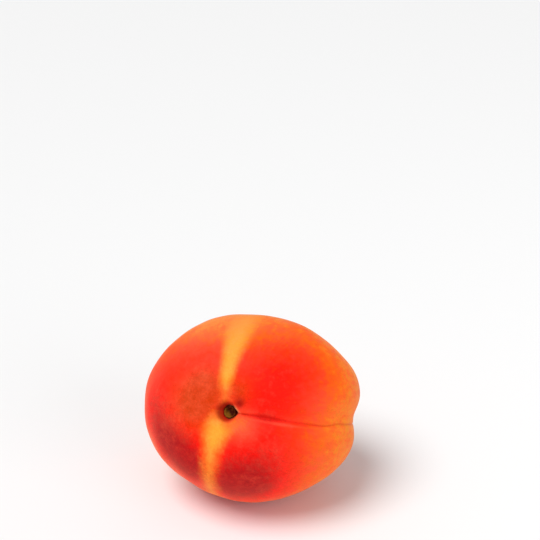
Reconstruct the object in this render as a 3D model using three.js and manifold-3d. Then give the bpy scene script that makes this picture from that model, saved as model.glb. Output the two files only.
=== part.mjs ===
// A ripe apricot that lies on one cheek, with the stub of its stalk still in the stem pit.
// Millimetres, +Z up. The origin is the middle of the small flat spot that the fruit rests on.
//
// The skin is a sphere's grid pushed out to a radius that is a formula of two angles. polar is the
// angle from the stem pit, 0 there and pi at the tip. azimuth is the angle round the stem axis, 0 at
// the suture, which is the seam that runs down one side from the pit to the tip.
import * as THREE from "three";
import { mergeVertices } from "three/addons/utils/BufferGeometryUtils.js";
import Module from "manifold-3d";

const { degToRad, smoothstep } = THREE.MathUtils;

// The body, in the fruit's own frame: +Z out of the stem pit, +X to the suture, +Y to one cheek.
const SUTURE_HALF_WIDTH = 23.7; // centre to the suture side and to the back
const CHEEK_HALF_WIDTH = 21;
const SHOULDER_HEIGHT = 21.5; // centre to the level of the shoulders round the pit
const TIP_HEIGHT = 23.5;
const HEIGHT_BLEND = 0.45; // how softly one height gives way to the other
const BODY_TWIST = degToRad(10); // the widest section is turned this far from the suture

// The two lobes on either side of the suture: how far round each lies and how far it lifts the skin.
const LOBES = [
  { azimuth: 24, lift: 2.5 }, // above the suture
  { azimuth: -12, lift: 2 }, // below it
];
const LOBE_POLAR = 100; // their thickest part, in degrees from the pit
const LOBE_SPREAD = 16; // how wide a lobe is, in degrees
const LOBE_REACH = 28; // how far it runs towards the pit and the tip

// Other swellings and flats: where each lies, how wide it spreads and how far it lifts the skin.
const SWELLINGS = [
  { azimuth: 60, polar: 85, spread: 20, lift: 1.5 }, // full upper cheek, on the suture's side
  { azimuth: 120, polar: 80, spread: 25, lift: 1 }, // and less full behind
  { azimuth: -120, polar: 80, spread: 25, lift: -1.25 }, // flat lower cheek
  { azimuth: 0, polar: 180, spread: 15, lift: -0.7 }, // hollow round the tip
  { azimuth: 0, polar: 180, spread: 4, lift: 0.6 }, // the tip itself
];

// Slow waves that keep the skin from being a perfect curve: a direction, a phase and a height.
const WAVES = [
  { along: [5.2, 3.1, -2.4], phase: 0.7, height: 0.1 },
  { along: [-3.3, 6.4, 4.1], phase: 2.1, height: 0.08 },
  { along: [2.2, -4.6, 7.5], phase: 4.0, height: 0.07 },
];

const BASIN_DEPTH = 2.9; // the shallow dish between the shoulders
const BASIN_RADIUS = 8.0;
const PIT_DEPTH = 2.6; // the narrow hole that the stalk stands in
const PIT_FLOOR_RADIUS = 1.6;
const PIT_MOUTH_RADIUS = 2.2;

const VALLEY_DEPTH = 1.5; // the broad valley along the suture
const VALLEY_HALF_WIDTH = 3.6;
const SUTURE_START = degToRad(1.5); // where the valley and its crease run near the pit, as an azimuth
const VALLEY_DRIFT = degToRad(5.5); // how far the valley drifts to the upper lobe's side
const CREASE_DRIFT = degToRad(2.2); // how far the crease does, in one short bend
const CREASE_DEPTH = 0.35; // the sharp line in the valley
const CREASE_HALF_WIDTH = 0.45;

// How the fruit lies: the stem axis rises this much above the horizontal, on the -Y side.
const STEM_RISE = degToRad(28);
const STEM_TURN = degToRad(-13); // turned round +Z, towards -X
const SUTURE_ROLL = degToRad(-5.5); // turned round the stem axis
const CENTRE = new THREE.Vector3(-0.75, -2.45, 20.9); // the fruit's own centre over the flat spot

const STUB_RADIUS = 1.3;
const STUB_LENGTH = 1.75;
const GAP = 0.3; // left between the stub and the skin

const COLUMNS = 72; // round the stem axis
const ROWS = 42; // from the pit to the tip

// An angle brought into the range from -pi to pi.
function wrapped(angle) {
  return Math.atan2(Math.sin(angle), Math.cos(angle));
}

function direction(azimuth, polar) {
  return new THREE.Vector3(
    Math.sin(polar) * Math.cos(azimuth),
    Math.sin(polar) * Math.sin(azimuth),
    Math.cos(polar),
  );
}

// A lobe beside the suture: a ridge that runs from near the pit to near the tip.
function lobe(azimuth, polar, { azimuth: middle, lift }) {
  const across = (Math.sin(polar) * wrapped(azimuth - degToRad(middle))) / degToRad(LOBE_SPREAD);
  const along = (polar - degToRad(LOBE_POLAR)) / degToRad(LOBE_REACH);
  return lift * Math.exp(-(across ** 2 + along ** 2) / 2);
}

// A rounded bump on the unit sphere: lift at its middle, falling off over spread degrees.
function swelling(d, { azimuth, polar, spread, lift }) {
  const middle = direction(degToRad(azimuth), degToRad(polar));
  return lift * Math.exp((d.dot(middle) - 1) / degToRad(spread) ** 2);
}

// Where the bottom of the valley and the crease run, as azimuths.
function valleyAzimuth(polar) {
  return SUTURE_START + VALLEY_DRIFT * smoothstep(polar, degToRad(20), degToRad(80));
}

function creaseAzimuth(polar) {
  return SUTURE_START + CREASE_DRIFT * smoothstep(polar, degToRad(58), degToRad(72));
}

// An ellipsoid whose height differs above and below the centre.
function bodyRadius(azimuth, polar) {
  const d = direction(azimuth - BODY_TWIST, polar);
  const above = 0.5 + 0.5 * Math.tanh(d.z / HEIGHT_BLEND);
  const height = THREE.MathUtils.lerp(TIP_HEIGHT, SHOULDER_HEIGHT, above);
  return 1 / Math.hypot(d.x / SUTURE_HALF_WIDTH, d.y / CHEEK_HALF_WIDTH, d.z / height);
}

// The suture: a broad valley and the fine crease in it, which both fade before the tip.
function sutureDepth(azimuth, polar, radius) {
  const fromPit = radius * polar;
  const aside = (line) => radius * Math.sin(polar) * wrapped(azimuth - line);
  const valley =
    VALLEY_DEPTH *
    smoothstep(fromPit, 1, 6) *
    Math.exp(-((aside(valleyAzimuth(polar)) / VALLEY_HALF_WIDTH) ** 2));
  const crease =
    CREASE_DEPTH *
    smoothstep(fromPit, 1.5, 4) *
    Math.exp(-((aside(creaseAzimuth(polar)) / CREASE_HALF_WIDTH) ** 2));
  const fade = 1 - smoothstep(polar, degToRad(120), degToRad(172));
  const front = smoothstep(Math.cos(azimuth), 0, 0.3);
  return fade * front * (valley + crease);
}

// The dish round the stem and the pit in the middle of it.
function stemHollowDepth(polar, radius) {
  const fromPit = radius * polar;
  const basin = BASIN_DEPTH * Math.exp(-((fromPit / BASIN_RADIUS) ** 2));
  const pit = PIT_DEPTH * (1 - smoothstep(fromPit, PIT_FLOOR_RADIUS, PIT_MOUTH_RADIUS));
  return basin + pit;
}

function skinRadius(azimuth, polar) {
  const d = direction(azimuth, polar);
  let radius = bodyRadius(azimuth, polar);
  for (const l of LOBES) radius += lobe(azimuth, polar, l);
  for (const s of SWELLINGS) radius += swelling(d, s);
  for (const w of WAVES) radius += w.height * Math.sin(d.dot(new THREE.Vector3(...w.along)) + w.phase);
  return radius - sutureDepth(azimuth, polar, radius) - stemHollowDepth(polar, radius);
}

// The share of the way from the pit to the tip, spaced so that rows crowd round the pit.
function polarAt(v) {
  return Math.PI * v - 0.225 * Math.sin(2 * Math.PI * v) - 0.38 * Math.sin(Math.PI * v);
}

// The share of the way round, spaced so that columns crowd along the suture.
function azimuthAt(u) {
  return 2 * Math.PI * u - 0.75 * Math.sin(2 * Math.PI * u);
}

// A sphere's grid with each vertex moved to the skin, in the fruit's own frame.
function skinGeometry() {
  const geometry = new THREE.SphereGeometry(1, COLUMNS, ROWS);
  const { position, uv } = geometry.attributes;
  for (let i = 0; i < position.count; i++) {
    const row = Math.round((1 - uv.getY(i)) * ROWS);
    const atPole = row === 0 || row === ROWS;
    const azimuth = atPole ? 0 : azimuthAt((Math.round(uv.getX(i) * COLUMNS) % COLUMNS) / COLUMNS);
    const polar = polarAt(row / ROWS);
    const p = direction(azimuth, polar).multiplyScalar(skinRadius(azimuth, polar));
    position.setXYZ(i, p.x, p.y, p.z);
  }
  return geometry;
}

// The turn from the fruit's own frame to how it lies, as nested groups would give it.
const lie = new THREE.Matrix4()
  .makeTranslation(CENTRE)
  .multiply(new THREE.Matrix4().makeRotationZ(STEM_TURN))
  .multiply(new THREE.Matrix4().makeRotationX(Math.PI / 2 - STEM_RISE))
  .multiply(new THREE.Matrix4().makeRotationZ(SUTURE_ROLL));

const wasm = await Module();
wasm.setup();

function toSolid(geometry) {
  const bare = geometry.clone().deleteAttribute("normal").deleteAttribute("uv");
  const merged = mergeVertices(bare, 1e-4);
  const mesh = new wasm.Mesh({
    numProp: 3,
    vertProperties: new Float32Array(merged.attributes.position.array),
    triVerts: new Uint32Array(merged.index.array),
  });
  return new wasm.Manifold(mesh);
}

function toGeometry(solid) {
  const mesh = solid.getMesh();
  const geometry = new THREE.BufferGeometry();
  geometry.setAttribute("position", new THREE.BufferAttribute(mesh.vertProperties, 3));
  geometry.setIndex(new THREE.BufferAttribute(mesh.triVerts, 1));
  geometry.computeVertexNormals();
  return geometry;
}

// The fruit, with its underside pressed flat where it meets the surface it lies on.
function fruitMesh() {
  const whole = toSolid(skinGeometry().applyMatrix4(lie));
  const surfaceDepth = 10;
  const surface = new THREE.BoxGeometry(80, 80, surfaceDepth).translate(0, 0, -surfaceDepth / 2);
  const material = new THREE.MeshStandardMaterial({ color: 0xe8521e, roughness: 0.6, metalness: 0 });
  const mesh = new THREE.Mesh(toGeometry(whole.subtract(toSolid(surface))), material);
  mesh.name = "fruit";
  return mesh;
}

// The stub of the stalk: a short peg whose broken end is dished.
function stubMesh() {
  const profile = [
    [0, 0],
    [0.9, 0],
    [0.96, 0.35],
    [1, 1],
    [0.92, 1],
    [0.78, 0.9],
    [0.5, 0.74],
    [0, 0.68],
  ].map(([across, along]) => new THREE.Vector2(across * STUB_RADIUS, along * STUB_LENGTH));
  const geometry = new THREE.LatheGeometry(profile, 24).rotateX(Math.PI / 2);
  const material = new THREE.MeshStandardMaterial({ color: 0x6a4a1c, roughness: 0.85, metalness: 0 });
  const mesh = new THREE.Mesh(geometry, material);
  mesh.name = "stem_stub";
  mesh.position.z = skinRadius(0, 0) + GAP;
  return mesh;
}

const apricot = new THREE.Group();
apricot.add(fruitMesh());

const stemGroup = new THREE.Group();
stemGroup.applyMatrix4(lie);
stemGroup.add(stubMesh());
apricot.add(stemGroup);

export default apricot;
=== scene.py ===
"""A ripe apricot that lies on one cheek, with the stub of its stalk in the stem pit.

The fruit has a frame of its own: +Z out of the stem pit, +X to the suture and +Y to one cheek. A
place on the skin is two angles in that frame. polar is the angle from the pit, 0 there and pi at the
tip. azimuth is the angle round the stem axis, 0 at the suture. Lengths are in metres.
"""

import math

import bpy
import numpy as np
from bpy.props import FloatProperty, FloatVectorProperty, IntProperty, PointerProperty
from bpy.types import Operator, Panel, PropertyGroup
from mathutils import Matrix, Vector


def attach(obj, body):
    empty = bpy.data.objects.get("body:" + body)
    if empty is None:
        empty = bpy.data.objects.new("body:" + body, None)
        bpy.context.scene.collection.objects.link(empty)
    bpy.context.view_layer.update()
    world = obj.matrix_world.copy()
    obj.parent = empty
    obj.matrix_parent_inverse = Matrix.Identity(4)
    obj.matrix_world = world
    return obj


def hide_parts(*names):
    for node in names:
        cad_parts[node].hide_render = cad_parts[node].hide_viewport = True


bl_info = {
    "name": "Apricot",
    "version": (1, 0, 0),
    "blender": (4, 5, 0),
    "location": "View3D > Sidebar > Apricot",
    "description": "Builds a ripe apricot, its stalk's stub and a pale studio to see it in",
    "category": "Add Mesh",
}

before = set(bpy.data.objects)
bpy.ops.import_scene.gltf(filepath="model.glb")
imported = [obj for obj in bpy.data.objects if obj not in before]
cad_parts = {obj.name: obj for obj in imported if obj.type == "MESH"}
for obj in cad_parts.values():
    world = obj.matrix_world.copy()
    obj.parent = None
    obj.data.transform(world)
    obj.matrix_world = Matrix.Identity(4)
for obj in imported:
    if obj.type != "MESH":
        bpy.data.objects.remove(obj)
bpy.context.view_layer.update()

MM = 0.001

# How the fruit lies: the stem axis rises this much above the horizontal, on the -Y side.
STEM_RISE = math.radians(28)
STEM_TURN = math.radians(-13)  # turned round +Z, towards -X
SUTURE_ROLL = math.radians(-5.5)  # turned round the stem axis
CENTRE = Vector((-0.75, -2.45, 20.9)) * MM  # the fruit's own centre over the flat spot

LIE = (
    Matrix.Translation(CENTRE)
    @ Matrix.Rotation(STEM_TURN, 4, "Z")
    @ Matrix.Rotation(math.pi / 2 - STEM_RISE, 4, "X")
    @ Matrix.Rotation(SUTURE_ROLL, 4, "Z")
)

BODY_TWIST = math.radians(10)  # the widest section is turned this far from the suture
HEIGHT_BLEND = 0.45  # how softly the shoulders' height gives way to the tip's

# The two lobes beside the suture: how far round each lies, in degrees, and its lift in millimetres.
LOBES = ((24, 2.5), (-12, 2))
LOBE_POLAR = math.radians(100)  # their thickest part
LOBE_SPREAD = math.radians(16)  # how wide a lobe is
LOBE_REACH = math.radians(28)  # how far it runs towards the pit and the tip

# Other swellings and flats: azimuth, polar and spread in degrees, and lift in millimetres.
SWELLINGS = (
    (60, 85, 20, 1.5),  # full upper cheek, on the suture's side
    (120, 80, 25, 1),  # and less full behind
    (-120, 80, 25, -1.25),  # flat lower cheek
    (0, 180, 15, -0.7),  # hollow round the tip
    (0, 180, 4, 0.6),  # the tip itself
)

SUTURE_START = math.radians(1.5)  # where the valley and its crease run near the pit, as an azimuth
VALLEY_DRIFT = math.radians(5.5)  # how far the valley drifts to the upper lobe's side
CREASE_DRIFT = math.radians(2.2)  # how far the crease does, in one short bend

FUNNEL_DEPTH = 1.3 * MM  # the upper part of the stem pit
FUNNEL_RADIUS = 2.2 * MM
FOLD_HEIGHT = 0.4 * MM  # the fold of skin beside the hole
FOLD_LEAN = math.radians(50)  # which way it faces, as an azimuth
FOLD_DISTANCE = 1.9 * MM  # from the stem axis to its line
DIMPLE_DEPTH = 0.45 * MM  # behind the fold
DIMPLE_RADIUS = 1.25 * MM
PLEAT_DEPTH = 0.03 * MM  # fine pleats round the pit
PRESS = 0.3 * MM  # how softly the underside bends into its flat spot

# The streaks are noise read on a cylinder round the stem axis. It is short for its width, so they
# are drawn out from the pit towards the tip.
STREAK_ROUND = 20 * MM  # its radius
STREAK_ALONG = 6 * MM  # its height for each radian of the polar angle
STUB_LIT_SIDE = math.radians(232)  # the side of the stub where light is painted, as an angle round the stem axis
LEAST_BLUSH = 0.13  # the blush that the skin has everywhere

CAMERA_PLACE = (-0.00075, -0.1988, 0.1343)
CAMERA_TILT = math.radians(68.14)  # up from straight down
CAMERA_TURN = math.radians(-1.58)  # round +Z
KEY_PLACE = (-0.36, -0.28, 0.83)  # upper left; the key light is a sun, so only the direction counts
FILL_PLACE = (0.4, -0.45, 0.25)  # to the right, in front of the fruit and above it
FILL_SIZE = 0.4  # the side of the lamp's square
FLOOR_REACH = 3.0  # from the floor's middle to its sides

# Slow waves over the whole skin: a direction, a phase and a height in millimetres.
WAVES = (
    ((5.2, 3.1, -2.4), 0.7, 0.10),
    ((-3.3, 6.4, 4.1), 2.1, 0.08),
    ((2.2, -4.6, 7.5), 4.0, 0.07),
    ((14.0, -9.0, 11.0), 1.3, 0.035),
    ((-12.0, 15.0, 8.0), 5.2, 0.03),
    ((19.0, 13.0, -17.0), 3.4, 0.02),
)

# Where the sun has reddened the skin: azimuth, polar and spread in degrees, and strength. Where
# the strength is negative the skin is paler.
BLUSH = (
    (45, 25, 20, 0.45),  # the shoulder above the suture
    (45, 50, 15, 0.2),
    (20, 45, 20, 0.1),
    (125, 35, 15, 0.25),  # behind the pale band, from the upper cheek down to the lower one
    (155, 45, 20, 0.36),
    (-170, 55, 15, 0.3),
    (-145, 45, 15, 0.5),
    (-120, 45, 15, 0.5),
    (-65, 35, 20, 0.48),  # the shoulder below the suture
    (-80, 55, 15, 0.35),
    (-55, 55, 15, 0.3),
    (-25, 30, 15, 0.12),
    (-35, 10, 6, -0.35),  # paler: a painted highlight beside the pit, less blush at the end of the shoulders, and a painted highlight high on the cheek
    (5, 75, 15, -0.1),
    (120, 65, 15, -0.2),
    (-95, 90, 25, 0.45),  # the underside, where the deeper blush is partly real and partly painted shade, the back and the far cheek
    (170, 100, 20, 0.2),
    (80, 130, 20, 0.15),
)

# Painted highlights where the down catches the light, with pale patches of the down itself, given in the
# same way.
HIGHLIGHT_AND_BLOOM = (
    (-35, 15, 7, 0.7),  # beside the pit
    (-165, 34, 8, 0.4),  # behind it
    (150, 40, 20, 0.3),
    (120, 65, 15, 0.8),  # high on the upper cheek
    (95, 70, 20, 0.5),
    (10, 60, 12, 0.3),  # on the lobes beside the suture
    (-30, 70, 15, 0.3),
)

# Painted shade, russet brown, on the walls of the hollow beside the pit.
HOLLOW_SHADE = (
    (140, 22, 8, 0.9),
    (180, 21, 10, 1.1),
    (75, 15, 5, 0.8),
)


def display(red, green, blue):
    """A colour as it looks on a screen, from 0 to 255 each, turned into linear light."""
    share = np.array((red, green, blue)) / 255
    linear = np.where(share <= 0.04045, share / 12.92, ((share + 0.055) / 1.055) ** 2.4)
    return tuple(float(part) for part in linear)


def wrapped(angle):
    """An angle brought into the range from -pi to pi."""
    return np.arctan2(np.sin(angle), np.cos(angle))


def smooth_step(value, low, high):
    """0 below low, 1 above high, and the cubic 3t^2 - 2t^3 in between."""
    t = np.clip((value - low) / (high - low), 0, 1)
    return t * t * (3 - 2 * t)


def bell(value, width):
    """1 at 0, falling off as exp(-(value / width)^2)."""
    return np.exp(-((value / width) ** 2))


def direction(azimuth, polar):
    """The unit vector at those two angles."""
    return np.stack(
        (np.sin(polar) * np.cos(azimuth), np.sin(polar) * np.sin(azimuth), np.cos(polar)), -1
    )


def cap(towards, azimuth, polar, spread):
    """A round patch on the unit sphere: exp((cosine of the angle from its middle - 1) / spread^2)."""
    middle = direction(math.radians(azimuth), math.radians(polar))
    return np.exp((towards @ middle - 1) / math.radians(spread) ** 2)


def body_radius(azimuth, polar, fruit):
    """An ellipsoid whose height differs above and below its centre.

    The height blends from one to the other as the hyperbolic tangent of the direction's z.
    """
    towards = direction(azimuth - BODY_TWIST, polar)
    above = 0.5 + 0.5 * np.tanh(towards[..., 2] / HEIGHT_BLEND)
    height = fruit.tip_height + (fruit.shoulder_height - fruit.tip_height) * above
    across = towards[..., 0] / fruit.suture_half_width
    along = towards[..., 1] / fruit.cheek_half_width
    return 1 / np.sqrt(across**2 + along**2 + (towards[..., 2] / height) ** 2)


def swollen_radius(azimuth, polar, fruit):
    """The ellipsoid, plus the lobes, the swellings and the slow waves.

    A lobe is a ridge: its lift times a bell across it and a longer bell along it.
    """
    radius = body_radius(azimuth, polar, fruit)
    towards = direction(azimuth, polar)
    along = (polar - LOBE_POLAR) / LOBE_REACH
    for middle, lift in LOBES:
        across = np.sin(polar) * wrapped(azimuth - math.radians(middle)) / LOBE_SPREAD
        radius = radius + lift * MM * np.exp(-(across**2 + along**2) / 2)
    for middle, down, spread, lift in SWELLINGS:
        radius = radius + lift * MM * cap(towards, middle, down, spread)
    for heading, phase, height in WAVES:
        radius = radius + height * MM * np.sin(towards @ np.array(heading) + phase)
    return radius


def valley_azimuth(polar):
    """Where the bottom of the valley runs: it drifts slowly to the upper lobe's side."""
    drift = smooth_step(polar, math.radians(20), math.radians(80))
    return SUTURE_START + VALLEY_DRIFT * drift


def crease_azimuth(polar):
    """Where the crease runs: straight, but for one short bend to the upper lobe's side."""
    bend = smooth_step(polar, math.radians(58), math.radians(72))
    return SUTURE_START + CREASE_DRIFT * bend


def suture_fade(azimuth, polar):
    """How strongly the suture shows: fully on its own side, and not at all at the tip or behind.

    It is a smooth step of the polar angle times a smooth step of the azimuth's cosine.
    """
    before_tip = 1 - smooth_step(polar, math.radians(120), math.radians(172))
    return before_tip * smooth_step(np.cos(azimuth), 0, 0.3)


def crease_shape(azimuth, polar, radius, fruit):
    """The crease at a place: how deep it is, as a multiple of the crease's set depth.

    Across the line it falls off as exp(-|aside / half width|^1.6). It starts at the pit as a smooth
    step. Some way out it opens into a lens, where its width and depth swell as a bell of the
    distance from the pit. Two more bells deepen it a little, next to the pit and far out.
    """
    from_pit = radius * polar
    aside = radius * np.sin(polar) * wrapped(azimuth - crease_azimuth(polar))
    lens = bell(from_pit - 9.2 * MM, 3.2 * MM)
    far = bell(from_pit - 22.5 * MM, 4 * MM)
    half_width = fruit.crease_half_width * (1 + 2.2 * lens)
    depth = 0.42 + 0.8 * lens + 0.12 * far + 0.35 * bell(from_pit - 3.6 * MM, 2.4 * MM)
    depth = smooth_step(from_pit, 1.2 * MM, 2.4 * MM) * depth
    return depth * np.exp(-(np.abs(aside / half_width) ** 1.6))


def suture_depth(azimuth, polar, radius, fruit):
    """The broad valley, a bell across its own line, and the crease in it.

    The valley starts at the pit as a smooth step, and both are scaled by the suture's fade.
    """
    from_pit = radius * polar
    aside = radius * np.sin(polar) * wrapped(azimuth - valley_azimuth(polar))
    valley = fruit.valley_depth * bell(aside, fruit.valley_half_width)
    valley = valley * smooth_step(from_pit, 1 * MM, 6 * MM)
    crease = fruit.crease_depth * crease_shape(azimuth, polar, radius, fruit)
    return suture_fade(azimuth, polar) * (valley + crease)


def stem_hollow_depth(azimuth, polar, radius, fruit):
    """The shallow dish between the shoulders, and the pit in its middle.

    The dish is a bell of the distance from the pit's middle. The pit is a funnel, set back from the
    suture, and below it a hole with steep walls, drawn out to a point at the suture. A fold of skin
    stands along a straight line beside the hole, with a dimple behind it. Fine pleats ring the pit:
    a sine wave of the azimuth times a bell of the distance.
    """
    from_pit = radius * polar
    dish = fruit.basin_depth * bell(from_pit, fruit.basin_radius)
    fold = FOLD_HEIGHT * fold_shape(azimuth, from_pit)
    dimple = DIMPLE_DEPTH * dimple_shape(azimuth, from_pit)
    pleats = PLEAT_DEPTH * np.sin(13 * azimuth + 1.2 * np.sin(3 * azimuth))
    pleats = pleats * bell(from_pit - 3.0 * MM, 0.9 * MM)
    return dish + pit_depth(azimuth, from_pit, fruit) + dimple + pleats - fold


def flat_map(azimuth, from_pit):
    """Places near the pit with the skin laid flat: x towards the suture, y to the upper cheek.

    x is the distance from the pit times the azimuth's cosine, and y is it times the sine.
    """
    return from_pit * np.cos(azimuth), from_pit * np.sin(azimuth)


def fold_shape(azimuth, from_pit):
    """The fold of skin: a narrow bell off its line times a broad bell along it."""
    x, y = flat_map(azimuth, from_pit)
    outward = x * math.cos(FOLD_LEAN) + y * math.sin(FOLD_LEAN) - FOLD_DISTANCE
    sideways = y * math.cos(FOLD_LEAN) - x * math.sin(FOLD_LEAN)
    return bell(outward, 0.28 * MM) * bell(sideways + 0.8 * MM, 1.1 * MM)


def dimple_shape(azimuth, from_pit):
    """The dimple behind the fold: a bell of the distance from its own middle."""
    x, y = flat_map(azimuth, from_pit)
    return bell(np.hypot(x - 2.1 * MM, y - 2.4 * MM), DIMPLE_RADIUS)


def crease_lip_highlights(azimuth, polar, radius):
    """Painted highlights on the lips of the crease: one along its lower side where it opens, one fainter
    above.

    Each is a narrow bell across its line times a broad bell of the distance from the pit, and a
    smooth step keeps both clear of the pit.
    """
    from_pit = radius * polar
    aside = radius * np.sin(polar) * wrapped(azimuth - crease_azimuth(polar))
    lower = bell(aside + 0.8 * MM, 0.32 * MM) * bell(from_pit - 11.5 * MM, 4.5 * MM)
    upper = bell(aside - 0.95 * MM, 0.3 * MM) * bell(from_pit - 8 * MM, 5 * MM)
    return (lower + 0.2 * upper) * smooth_step(from_pit, 3 * MM, 6 * MM)


def pit_depth(azimuth, from_pit, fruit):
    """The funnel and the hole below it.

    The funnel is exp(-(distance from its middle / radius)^4). The hole is a smooth step at the
    mouth's radius, which swells towards the suture as a bell of the azimuth and waves a little.
    """
    x, y = flat_map(azimuth, from_pit)
    off_middle = np.hypot(x + 0.85 * MM, y - 0.1 * MM)
    funnel = FUNNEL_DEPTH * np.exp(-((off_middle / FUNNEL_RADIUS) ** 4))
    mouth = fruit.pit_radius * (1 + 0.26 * bell(wrapped(azimuth), math.radians(26)))
    mouth = mouth * (1 + 0.03 * np.sin(3 * azimuth + 1) + 0.02 * np.sin(7 * azimuth))
    hole = (fruit.pit_depth - FUNNEL_DEPTH) * (1 - smooth_step(from_pit, 0.88 * mouth, 1.18 * mouth))
    return funnel + hole


def pit_shade(azimuth, from_pit, fruit):
    """The painted shade in and round the pit: the greater of two.

    One is a smooth step of the pit's own depth. The other is a disc, a smooth step of the distance
    from its middle, with the dimple's shape added for painted shade in the dimple.
    """
    x, y = flat_map(azimuth, from_pit)
    disc = 0.8 * (1 - smooth_step(np.hypot(x + 0.7 * MM, y + 0.15 * MM), 1.9 * MM, 3.0 * MM))
    down_in = smooth_step(pit_depth(azimuth, from_pit, fruit), 0.3 * MM, 1.6 * MM)
    return np.maximum(disc + 0.9 * dimple_shape(azimuth, from_pit), down_in)


def skin_radius(azimuth, polar, fruit):
    """The skin's distance from the fruit's centre: the swollen body less the suture and the hollow."""
    radius = swollen_radius(azimuth, polar, fruit)
    return (
        radius
        - suture_depth(azimuth, polar, radius, fruit)
        - stem_hollow_depth(azimuth, polar, radius, fruit)
    )


def pressed(height):
    """Heights with the underside pressed flat on the surface.

    Below -PRESS they become 0 and above PRESS they stay; in between they follow the parabola
    (height + PRESS)^2 / (4 PRESS), which meets both smoothly.
    """
    bend = (height + PRESS) ** 2 / (4 * PRESS)
    return np.where(height < -PRESS, 0, np.where(height > PRESS, height, bend))


def skin_grid(fruit):
    """The two angles over the whole fruit, from the row next to the pit to the one next to the tip.

    Rows crowd at the pit and the tip, more at the pit: polar = pi s - 0.3 sin(2 pi s) - 0.3 sin(pi s).
    Columns crowd along the crease: azimuth = 2 pi u - 0.88 sin(2 pi u), turned with the crease.
    """
    s = np.arange(1, fruit.rows) / fruit.rows
    u = np.arange(fruit.columns) / fruit.columns
    polar = math.pi * s - 0.3 * np.sin(2 * math.pi * s) - 0.3 * np.sin(math.pi * s)
    turn = 2 * math.pi * u - 0.88 * np.sin(2 * math.pi * u)
    polar = np.repeat(polar[:, None], fruit.columns, 1)
    return turn[None, :] + crease_azimuth(polar), polar


def closed_mesh(name, grid, first_pole, last_pole):
    """A mesh from rows of places that close round, with a single point at either end.

    Each cell of the grid is one face, and a ring of triangles joins each end row to its point.
    """
    rows, columns = grid.shape[:2]
    index = np.arange(rows * columns).reshape(rows, columns)
    beside = np.roll(index, -1, 1)
    quads = np.stack((index[:-1], index[1:], beside[1:], beside[:-1]), -1).reshape(-1, 4)
    first, last = rows * columns, rows * columns + 1
    top = np.stack((np.full(columns, first), index[0], beside[0]), -1)
    bottom = np.stack((np.full(columns, last), beside[-1], index[-1]), -1)
    places = np.concatenate((grid.reshape(-1, 3), [first_pole, last_pole]))
    mesh = bpy.data.meshes.new(name)
    mesh.from_pydata(places.tolist(), [], quads.tolist() + top.tolist() + bottom.tolist())
    mesh.polygons.foreach_set("use_smooth", np.ones(len(mesh.polygons), bool))
    mesh.update()
    return mesh


def paint(mesh, name, grid, first_pole, last_pole):
    """Stores a number for each place of the grid and for its two poles, for a material to read."""
    attribute = mesh.attributes.new(name, "FLOAT", "POINT")
    values = np.concatenate((grid.ravel(), [first_pole, last_pole]))
    attribute.data.foreach_set("value", values.astype(np.float32))


def laid(places):
    """Places in the fruit's own frame, turned and moved to how the fruit lies."""
    turned = places @ np.array(LIE.to_3x3()).T
    return turned + np.array(LIE.translation)


def show(mesh, material, node):
    """Puts a finished mesh in the scene in place of its plain solid."""
    mesh.materials.append(material)
    piece = bpy.data.objects.new(mesh.name, mesh)
    bpy.context.scene.collection.objects.link(piece)
    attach(piece, "root")
    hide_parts(node)


class Value:
    """A shader socket that can stand in a Python expression: each operator adds its Math node."""

    def __init__(self, shader, socket):
        self.shader = shader
        self.socket = socket

    def math(self, operation, first, second, clamp=False):
        settings = {"operation": operation, "use_clamp": clamp}
        return self.shader.node("Math", settings, {0: first, 1: second})

    def __add__(self, other):
        return self.math("ADD", self, other)

    def __sub__(self, other):
        return self.math("SUBTRACT", self, other)

    def __rsub__(self, other):
        return self.math("SUBTRACT", other, self)

    def __mul__(self, other):
        return self.math("MULTIPLY", self, other)

    __radd__ = __add__
    __rmul__ = __mul__

    def limited(self):
        """The value kept between 0 and 1."""
        return self.math("ADD", self, 0.0, clamp=True)

    def between(self, low, high):
        """0 below low, 1 above high, and smooth in between."""
        return self.shader.node(
            "MapRange", {"interpolation_type": "SMOOTHSTEP"}, {0: self, 1: low, 2: high, 3: 0.0, 4: 1.0}
        )


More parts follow.
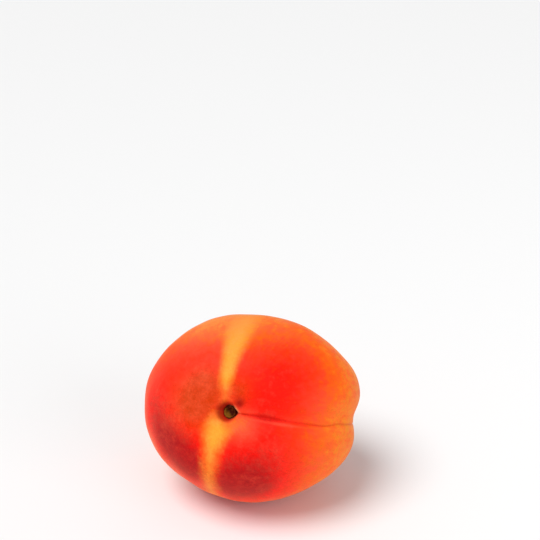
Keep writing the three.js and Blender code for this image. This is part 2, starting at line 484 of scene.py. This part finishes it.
class Shader:
    """A new material, and the nodes that are added to it."""

    def __init__(self, name):
        self.material = bpy.data.materials.new(name)
        self.material.use_nodes = True
        self.tree = self.material.node_tree
        self.surface = self.tree.nodes["Principled BSDF"]

    def node(self, kind, settings=None, inputs=None, output=0):
        """Adds a node: its type, its settings, and values or links for its sockets."""
        node = self.tree.nodes.new("ShaderNode" + kind)
        for name, setting in (settings or {}).items():
            if name == "stops":
                self.set_stops(node.color_ramp, setting)
            else:
                setattr(node, name, setting)
        for key, given in (inputs or {}).items():
            self.feed(node.inputs[key], given)
        return Value(self, node.outputs[output])

    def feed(self, socket, given):
        """Links a value to a socket, or sets the number or colour there."""
        if isinstance(given, Value):
            self.tree.links.new(given.socket, socket)
        elif socket.type == "RGBA":
            socket.default_value = (*given[:3], 1)
        else:
            socket.default_value = given

    def set_stops(self, ramp, stops):
        """Gives a colour ramp its stops, each a position and a colour."""
        while len(ramp.elements) < len(stops):
            ramp.elements.new(0.5)
        for element, (position, colour) in zip(ramp.elements, stops):
            element.position = position
            element.color = (*colour[:3], 1)

    def finish(self, **sockets):
        """Sets the surface's sockets; an underscore in a name stands for a space."""
        for name, given in sockets.items():
            self.feed(self.surface.inputs[name.replace("_", " ")], given)
        return self.material

    def mix(self, factor, first, second):
        """The first colour where the factor is 0 and the second where it is 1."""
        return self.node("Mix", {"data_type": "RGBA"}, {0: factor, 6: first, 7: second}, output=2)

    def painted(self, name):
        """The numbers that the mesh holds under that name."""
        return self.node("Attribute", {"attribute_name": name}, output=2)

    def place(self):
        """The place on the piece, in Object coordinates."""
        return self.node("TexCoord", output=3)

    def noise(self, place, size, detail, roughness):
        """Cloudy noise whose clouds are about that size, in metres."""
        settings = {"noise_dimensions": "3D"}
        inputs = {"Vector": place, "Scale": 1 / size, "Detail": detail, "Roughness": roughness}
        return self.node("TexNoise", settings, inputs)


def patches(azimuth, polar, table, least=0.0):
    """The sum of a table's round patches, each its strength times a cap, over a least value."""
    towards = direction(azimuth, polar)
    field = least + 0 * polar
    for middle, down, spread, strength in table:
        field = field + strength * cap(towards, middle, down, spread)
    return field


def shade_band(azimuth, polar, radius):
    """The pale band where the twig kept the sun off: 1 in its middle and 0 at twice its half width.

    It crosses the stem pit from cheek to cheek, a little back from the stem axis on the side away
    from the suture, and drifts further back as 1 - exp(-distance). Above the pit it widens as a
    smooth step towards the cheek; below, it is widest near the pit, as a bell. Smooth steps fade it
    into the pit, towards both cheeks and before the tip.
    """
    x = radius * np.sin(polar) * np.cos(azimuth)
    y = radius * np.sin(polar) * np.sin(azimuth)
    away = np.abs(y)
    lag = np.where(y > 0, 1.1 * MM, 1.6 * MM)
    middle = -1.2 * MM - lag * (1 - np.exp(-away / (8 * MM)))
    above = 1.4 * MM + 0.7 * MM * smooth_step(y, 9 * MM, 17 * MM)
    below = 1.9 * MM + 0.6 * MM * bell(y + 4.2 * MM, 2.4 * MM)
    half_width = np.where(y > 0, above, below)
    from_pit = radius * polar
    upper = 0.35 + 0.65 * smooth_step(from_pit, 4 * MM, 9 * MM)
    upper = upper * (1 - 0.6 * smooth_step(away, 14 * MM, 24 * MM))
    lower = 0.55 + 0.45 * smooth_step(from_pit, 3 * MM, 5 * MM)
    lower = lower * (1 - 0.36 * smooth_step(away, 6 * MM, 10 * MM))
    strength = np.where(y > 0, upper, lower) * smooth_step(from_pit, 1.6 * MM, 3 * MM)
    strength = strength * smooth_step(np.cos(polar), -0.1, 0.4)
    return np.clip(1 - np.abs(x - middle) / (2 * half_width), 0, 1) * strength


def skin_material(colours):
    """Ripe apricot skin: golden ground, red blush that deepens to crimson, and a fine down.

    The painted fields say where the blush, the pale band and the pale down lie, and where light and
    shade are painted: shade in the hollow beside the pit, highlights on the down and on the crease's
    lips, shade down in the crease and in and round the pit, and a highlight on the fold. Noise of
    several sizes breaks up the blush, the hollow's painted shade, the band and the down's highlights,
    and lightens and darkens the whole skin a little. The band takes away some of the blush, so its
    edges turn orange.
    """
    shader = Shader("apricot_skin")
    place = shader.place()
    clouds = shader.noise(place, 7 * MM, 3.0, 0.55)
    mottle = shader.noise(place, 1.6 * MM, 3.0, 0.6)
    grain = shader.noise(place, 0.55 * MM, 2.0, 0.6)
    axes = {0: shader.painted("east"), 1: shader.painted("north"), 2: shader.painted("south")}
    meridians = shader.node("CombineXYZ", {}, axes)
    streaks = shader.noise(meridians, 0.9 * MM, 3.0, 0.6)
    uneven = (mottle - 0.5) * 0.8 + (grain - 0.5) * 0.25 + (streaks - 0.5) * 0.4
    shaded = shader.painted("shade_band")
    blush = shader.painted("blush") - shaded * 0.45
    redness = blush + ((clouds - 0.5) * 0.35 + uneven) * (0.7 - blush * 0.3)
    stops = (
        (0.0, colours.ground),
        (0.2, colours.orange),
        (0.45, colours.vermilion),
        (0.7, colours.scarlet),
        (1.0, colours.crimson),
    )
    skin = shader.node("ValToRGB", {"stops": stops}, {0: redness.limited()})
    # Painted shade, russet brown, on the walls of the hollow beside the pit.
    russet = (shader.painted("russet") + (mottle - 0.5) * 0.35 + (streaks - 0.5) * 0.25).limited()
    skin = shader.mix(russet * 0.9, skin, colours.russet)
    band = shaded + (clouds - 0.5) * 0.3 + uneven * 0.35
    skin = shader.mix(band.between(0.08, 0.92) * 0.92, skin, colours.band)
    # Painted highlights where the down catches the light, with pale mottling of the down.
    bloom = shader.painted("bloom") + (clouds - 0.42) * 0.9 + (mottle - 0.5) * 1.2 + (grain - 0.5) * 0.25
    skin = shader.mix(bloom.limited() * (0.29 - blush * 0.14), skin, colours.bloom)
    # Painted shade down in the crease.
    skin = shader.mix(shader.painted("crease") * 0.95, skin, colours.crease)
    # Painted shade in and round the pit and in the dimple.
    skin = shader.mix(shader.painted("pit").limited(), skin, colours.pit)
    # A painted highlight along the crest of the fold.
    skin = shader.mix(shader.painted("fold") * 0.6, skin, colours.fold)
    fine = shader.noise(place, 0.3 * MM, 1.0, 0.5)
    shade = 1 + ((mottle - 0.5) * 0.4 + (grain - 0.5) * 0.4 + (fine - 0.5) * 0.4) * (0.5 + blush * 0.6)
    skin = shader.node("VectorMath", {"operation": "SCALE"}, {0: skin, "Scale": shade})
    down = shader.noise(place, 0.22 * MM, 2.0, 0.7)
    dents = shader.noise(place, 1.4 * MM, 2.0, 0.5)
    bump = shader.node(
        "Bump", {}, {"Strength": 0.4, "Distance": 0.05 * MM, "Height": down + dents * 1.5}
    )
    return shader.finish(
        Base_Color=skin,
        Roughness=0.56 + (mottle - 0.5) * 0.12,
        Normal=bump,
        IOR=1.42,
        Specular_IOR_Level=0.1,
        Subsurface_Weight=0.12,
        Subsurface_Radius=(3.0, 0.9, 0.35),
        Subsurface_Scale=1 * MM,
        Sheen_Weight=0.42,
        Sheen_Roughness=0.3,
        Sheen_Tint=colours.down,
    )


def stub_profile(count):
    """The stub's outline from the middle of its foot, up its side, over the rim and into the dish.

    Each place is the distance from the stem axis and the height above the foot, as shares of the
    stub's radius and length. The corners are rounded by averaging neighbours.
    """
    across = np.array((0, 0.55, 0.9, 0.97, 0.93, 1.0, 1.02, 0.95, 0.8, 0.66, 0.5, 0.25, 0))
    along = np.array((0, 0, 0.02, 0.15, 0.45, 0.75, 0.93, 1.0, 0.99, 0.86, 0.72, 0.66, 0.66))
    step = np.cumsum(np.hypot(np.diff(across, prepend=0), np.diff(along, prepend=0)))
    at = np.linspace(0, step[-1], count)
    outline = np.stack((np.interp(at, step, across), np.interp(at, step, along)), -1)
    for _ in range(3):
        outline[1:-1] = (outline[:-2] + 2 * outline[1:-1] + outline[2:]) / 4
    return outline


def stub_grid(stub):
    """The stub's surface round the stem axis, with its foot at height 0.

    The profile is carried round the axis. Sine waves of the angle make fibres down the side and a
    ragged rim, both fading towards the axis. The height of the dish's middle comes with it, and the
    profile.
    """
    outline = stub_profile(stub.rows)
    angle = 2 * math.pi * np.arange(stub.columns) / stub.columns
    across, along = outline[1:-1, 0, None], outline[1:-1, 1, None]
    fibres = 0.02 * np.sin(23 * angle + 1) + 0.015 * np.sin(37 * angle) + 0.03 * np.sin(3 * angle + 2)
    ragged = 0.05 * np.sin(2 * angle + 2.4) + 0.03 * np.sin(5 * angle) + 0.025 * np.sin(11 * angle + 4)
    out = stub.radius * across * (1 + fibres * across)
    up = stub.length * (along + ragged * smooth_step(along, 0.5, 1) * smooth_step(across, 0.2, 0.9))
    grid = np.stack((out * np.cos(angle), out * np.sin(angle), up + 0 * angle), -1)
    return grid, stub.length * outline[-1, 1], outline


def stub_painted_light(outline, stub):
    """The light painted on the stub: a smooth step across it, from its shaded side to its lit one.

    The step is taken of the distance from the stem axis, as a share of the stub's radius, times the
    cosine of the angle from the lit side.
    """
    angle = 2 * math.pi * np.arange(stub.columns) / stub.columns
    towards = outline[1:-1, 0, None] * np.cos(angle - STUB_LIT_SIDE)
    return 0.1 + 0.9 * smooth_step(towards, -0.15, 0.75)


def stub_material(colours):
    """Dry stalk: olive brown where light is painted on one side, dark brown painted shade on the other
    and in the broken end's middle.

    Noise of two sizes breaks up the painted light and shade on the stub.
    """
    shader = Shader("apricot_stalk")
    place = shader.place()
    fleck = shader.noise(place, 0.35 * MM, 3.0, 0.65)
    cloud = shader.noise(place, 1.1 * MM, 2.0, 0.5)
    # Painted light on one side of the stub, painted shade on the other.
    light = (shader.painted("paleness") + (cloud - 0.5) * 0.9 + (fleck - 0.5) * 0.7).limited()
    wood = shader.mix(light, colours.dark, colours.pale)
    bump = shader.node("Bump", {}, {"Strength": 0.6, "Distance": 0.08 * MM, "Height": fleck})
    return shader.finish(Base_Color=wood, Roughness=0.8, Normal=bump, Specular_IOR_Level=0.05)


class ApricotFruit(PropertyGroup):
    suture_half_width: FloatProperty(
        name="Suture half width",
        description="Centre to the suture side",
        default=23.7 * MM,
        unit="LENGTH",
    )
    cheek_half_width: FloatProperty(
        name="Cheek half width", description="Centre to each cheek", default=21 * MM, unit="LENGTH"
    )
    shoulder_height: FloatProperty(
        name="Shoulder height",
        description="Centre to the level of the shoulders",
        default=21.5 * MM,
        unit="LENGTH",
    )
    tip_height: FloatProperty(
        name="Tip height", description="Centre to the tip", default=23.5 * MM, unit="LENGTH"
    )
    basin_depth: FloatProperty(
        name="Basin depth",
        description="Depth of the dish round the stem",
        default=2.9 * MM,
        unit="LENGTH",
    )
    basin_radius: FloatProperty(
        name="Basin radius",
        description="Spread of the dish round the stem",
        default=8 * MM,
        unit="LENGTH",
    )
    pit_depth: FloatProperty(
        name="Pit depth", description="Depth of the hole below the dish", default=2.6 * MM, unit="LENGTH"
    )
    pit_radius: FloatProperty(
        name="Pit radius", description="Radius of the hole", default=1.62 * MM, unit="LENGTH"
    )
    valley_depth: FloatProperty(
        name="Valley depth", description="Depth of the suture's valley", default=1.5 * MM, unit="LENGTH"
    )
    valley_half_width: FloatProperty(
        name="Valley half width",
        description="Half width of the suture's valley",
        default=3.6 * MM,
        unit="LENGTH",
    )
    crease_depth: FloatProperty(
        name="Crease depth",
        description="Depth of the line in the valley",
        default=0.42 * MM,
        unit="LENGTH",
    )
    crease_half_width: FloatProperty(
        name="Crease half width",
        description="Half width of the line in the valley",
        default=0.28 * MM,
        unit="LENGTH",
    )
    columns: IntProperty(name="Columns", description="Places round the stem axis", default=340)
    rows: IntProperty(name="Rows", description="Steps from the pit to the tip", default=280)


class ApricotSkin(PropertyGroup):
    ground: FloatVectorProperty(
        name="Ground", description="Unblushed skin", default=display(253, 139, 28), subtype="COLOR"
    )
    orange: FloatVectorProperty(
        name="Orange", description="Faint blush", default=display(252, 98, 6), subtype="COLOR"
    )
    vermilion: FloatVectorProperty(
        name="Vermilion", description="Half blush", default=display(250, 54, 12), subtype="COLOR"
    )
    scarlet: FloatVectorProperty(
        name="Scarlet", description="Full blush", default=display(248, 20, 4), subtype="COLOR"
    )
    crimson: FloatVectorProperty(
        name="Crimson", description="Deepest blush", default=display(182, 12, 16), subtype="COLOR"
    )
    band: FloatVectorProperty(
        name="Shaded band",
        description="Where a twig lay",
        default=display(254, 158, 48),
        subtype="COLOR",
    )
    # Colour of the painted shade in the hollow beside the pit.
    russet: FloatVectorProperty(
        name="Hollow_shade", description="Skin in the hollow", default=display(200, 54, 0), subtype="COLOR"
    )
    # Colour of the painted shade down in the crease.
    crease: FloatVectorProperty(
        name="Crease",
        description="Skin down in the crease",
        default=display(200, 14, 4),
        subtype="COLOR",
    )
    # Colour of the painted shade in and round the pit.
    pit: FloatVectorProperty(
        name="Pit", description="Walls of the stem pit", default=display(146, 10, 0), subtype="COLOR"
    )
    # Colour of the painted highlight on the fold.
    fold: FloatVectorProperty(
        name="Fold",
        description="Fold of skin beside the pit",
        default=display(222, 142, 92),
        subtype="COLOR",
    )
    # Colour of the painted highlights on the down, and of its pale patches.
    bloom: FloatVectorProperty(
        name="Highlight_and_bloom",
        description="Where the down lies thick",
        default=display(255, 134, 98),
        subtype="COLOR",
    )
    down: FloatVectorProperty(
        name="Down", description="Light on the down", default=display(255, 204, 150), subtype="COLOR"
    )


class ApricotStub(PropertyGroup):
    radius: FloatProperty(
        name="Radius", description="Radius of the stub", default=1.25 * MM, unit="LENGTH"
    )
    length: FloatProperty(
        name="Length", description="Foot to rim", default=1.75 * MM, unit="LENGTH"
    )
    lift: FloatProperty(
        name="Lift", description="Gap under the foot", default=0.3 * MM, unit="LENGTH"
    )
    # The stub's olive brown where light is painted on it.
    pale: FloatVectorProperty(
        name="Pale", description="The stub's paler side", default=display(124, 78, 18), subtype="COLOR"
    )
    # Painted shade on the stub's other side and in the middle of its broken end.
    dark: FloatVectorProperty(
        name="Dark",
        description="Its other side and the middle of the broken end",
        default=display(60, 12, 3),
        subtype="COLOR",
    )
    columns: IntProperty(name="Columns", description="Places round the stem axis", default=128)
    rows: IntProperty(name="Rows", description="Places along the outline", default=64)


class ApricotStage(PropertyGroup):
    floor: FloatVectorProperty(
        name="Floor", description="Colour of the floor", default=(0.86, 0.86, 0.86), subtype="COLOR"
    )
    room: FloatProperty(name="Room light", description="Light from all round", default=0.42)
    key: FloatProperty(name="Key light", description="Broad light from the upper left", default=2.35)
    spread: FloatProperty(
        name="Key spread",
        description="How wide the key light is",
        default=math.radians(34),
        subtype="ANGLE",
    )
    fill: FloatProperty(name="Fill light", description="Lamp at the right", default=1.1, unit="POWER")
    lens: FloatProperty(name="Lens", description="Focal length in millimetres", default=65)


class APRICOT_OT_fruit(Operator):
    """Builds the fruit with its suture, hollow and pit"""

    bl_idname = "apricot.fruit"
    bl_label = "Fruit"

    def execute(self, context):
        fruit = context.scene.apricot_fruit
        azimuth, polar = skin_grid(fruit)
        radius = skin_radius(azimuth, polar, fruit)
        pit_floor = float(skin_radius(np.zeros(1), np.zeros(1), fruit)[0])
        tip = float(skin_radius(np.zeros(1), np.full(1, math.pi), fruit)[0])
        places = laid(radius[..., None] * direction(azimuth, polar))
        ends = laid(np.array(((0, 0, pit_floor), (0, 0, -tip))))
        places[..., 2] = pressed(places[..., 2])
        mesh = closed_mesh("apricot_fruit", places, *ends)

        body = swollen_radius(azimuth, polar, fruit)
        from_pit = body * polar
        fade = suture_fade(azimuth, polar)
        paint(mesh, "blush", patches(azimuth, polar, BLUSH, LEAST_BLUSH), 0.5, LEAST_BLUSH)
        # Painted highlights on the down and on the crease's lips, with pale patches of down.
        bloom = patches(azimuth, polar, HIGHLIGHT_AND_BLOOM) + 1.3 * fade * crease_lip_highlights(azimuth, polar, body)
        paint(mesh, "bloom", bloom, 0, 0)
        paint(mesh, "east", STREAK_ROUND * np.cos(azimuth), 0, 0)
        paint(mesh, "north", STREAK_ROUND * np.sin(azimuth), 0, 0)
        paint(mesh, "south", STREAK_ALONG * polar, 0, STREAK_ALONG * math.pi)
        # Painted shade in the hollow beside the pit.
        paint(mesh, "russet", patches(azimuth, polar, HOLLOW_SHADE), 0, 0)
        paint(mesh, "shade_band", shade_band(azimuth, polar, body), 0, 0)
        # Painted shade down in the crease.
        paint(mesh, "crease", np.clip(fade * crease_shape(azimuth, polar, body, fruit), 0, 1), 0, 0)
        # Painted shade in and round the pit and in the dimple.
        paint(mesh, "pit", pit_shade(azimuth, from_pit, fruit), 1, 0)
        # A painted highlight on the crest of the fold.
        paint(mesh, "fold", fold_shape(azimuth, from_pit), 0, 0)
        show(mesh, skin_material(context.scene.apricot_skin), "fruit")
        return {"FINISHED"}


class APRICOT_OT_stub(Operator):
    """Builds the stub of the stalk in the pit"""

    bl_idname = "apricot.stub"
    bl_label = "Stem stub"

    def execute(self, context):
        stub = context.scene.apricot_stub
        fruit = context.scene.apricot_fruit
        floor = float(skin_radius(np.zeros(1), np.zeros(1), fruit)[0]) + stub.lift
        grid, dish, outline = stub_grid(stub)
        grid[..., 2] += floor
        ends = laid(np.array(((0, 0, floor + dish), (0, 0, floor))))
        mesh = closed_mesh("apricot_stem_stub", laid(grid[::-1]), *ends)
        # Painted light on one side of the stub, painted shade on the other.
        paint(mesh, "paleness", stub_painted_light(outline, stub)[::-1], 0.15, 0.15)
        show(mesh, stub_material(stub), "stem_stub")
        return {"FINISHED"}


class APRICOT_OT_stage(Operator):
    """Builds the floor, the lamps and the camera"""

    bl_idname = "apricot.stage"
    bl_label = "Stage"

    def execute(self, context):
        stage = context.scene.apricot_stage
        scene = context.scene
        scene.view_settings.view_transform = "Standard"
        self.add_floor(stage)
        self.add_room(scene, stage)
        key = bpy.data.lights.new("key_light", "SUN")
        key.energy = stage.key
        key.angle = stage.spread
        self.aim("key_light", key, KEY_PLACE)
        fill = bpy.data.lights.new("fill_lamp", "AREA")
        fill.size = FILL_SIZE
        fill.energy = stage.fill
        self.aim("fill_lamp", fill, FILL_PLACE)
        camera = bpy.data.cameras.new("camera")
        camera.lens = stage.lens
        camera.clip_start = 0.01
        seat = bpy.data.objects.new("camera", camera)
        seat.location = CAMERA_PLACE
        seat.rotation_euler = (CAMERA_TILT, 0, CAMERA_TURN)
        scene.collection.objects.link(seat)
        scene.camera = seat
        return {"FINISHED"}

    def add_floor(self, stage):
        """A flat square far wider than the view."""
        mesh = bpy.data.meshes.new("floor")
        sides = ((-1, -1), (1, -1), (1, 1), (-1, 1))
        corners = [(x * FLOOR_REACH, y * FLOOR_REACH, 0) for x, y in sides]
        mesh.from_pydata(corners, [], [(0, 1, 2, 3)])
        surface = Shader("floor").finish(Base_Color=stage.floor, Roughness=0.9, Specular_IOR_Level=0.1)
        mesh.materials.append(surface)
        floor = bpy.data.objects.new("floor", mesh)
        bpy.context.scene.collection.objects.link(floor)

    def add_room(self, scene, stage):
        """Even light from all round."""
        world = bpy.data.worlds.new("room")
        world.use_nodes = True
        background = world.node_tree.nodes["Background"]
        background.inputs["Color"].default_value = (1, 1, 1, 1)
        background.inputs["Strength"].default_value = stage.room
        scene.world = world

    def aim(self, name, light, place):
        """Stands a light at a place, facing the fruit."""
        stand = bpy.data.objects.new(name, light)
        stand.location = place
        stand.rotation_euler = (Vector(place) - CENTRE).to_track_quat("Z", "Y").to_euler()
        bpy.context.scene.collection.objects.link(stand)


class APRICOT_PT_panel(Panel):
    bl_label = "Apricot"
    bl_space_type = "VIEW_3D"
    bl_region_type = "UI"
    bl_category = "Apricot"

    def draw(self, context):
        for operator, groups in BUTTONS:
            box = self.layout.box()
            box.operator(operator.bl_idname)
            for group in groups:
                settings = getattr(context.scene, group)
                for name in settings.bl_rna.properties.keys():
                    if name not in ("rna_type", "name"):
                        box.prop(settings, name)


# The panel's buttons, each with the settings that its operator reads.
BUTTONS = (
    (APRICOT_OT_fruit, ("apricot_fruit", "apricot_skin")),
    (APRICOT_OT_stub, ("apricot_stub",)),
    (APRICOT_OT_stage, ("apricot_stage",)),
)
GROUPS = {
    "apricot_fruit": ApricotFruit,
    "apricot_skin": ApricotSkin,
    "apricot_stub": ApricotStub,
    "apricot_stage": ApricotStage,
}
CLASSES = (*GROUPS.values(), APRICOT_OT_fruit, APRICOT_OT_stub, APRICOT_OT_stage, APRICOT_PT_panel)


def register():
    for each in CLASSES:
        bpy.utils.register_class(each)
    for name, group in GROUPS.items():
        setattr(bpy.types.Scene, name, PointerProperty(type=group))


def unregister():
    for name in GROUPS:
        delattr(bpy.types.Scene, name)
    for each in reversed(CLASSES):
        bpy.utils.unregister_class(each)


def main():
    register()
    bpy.ops.apricot.fruit()
    bpy.ops.apricot.stub()
    bpy.ops.apricot.stage()


if __name__ == "__main__":
    main()
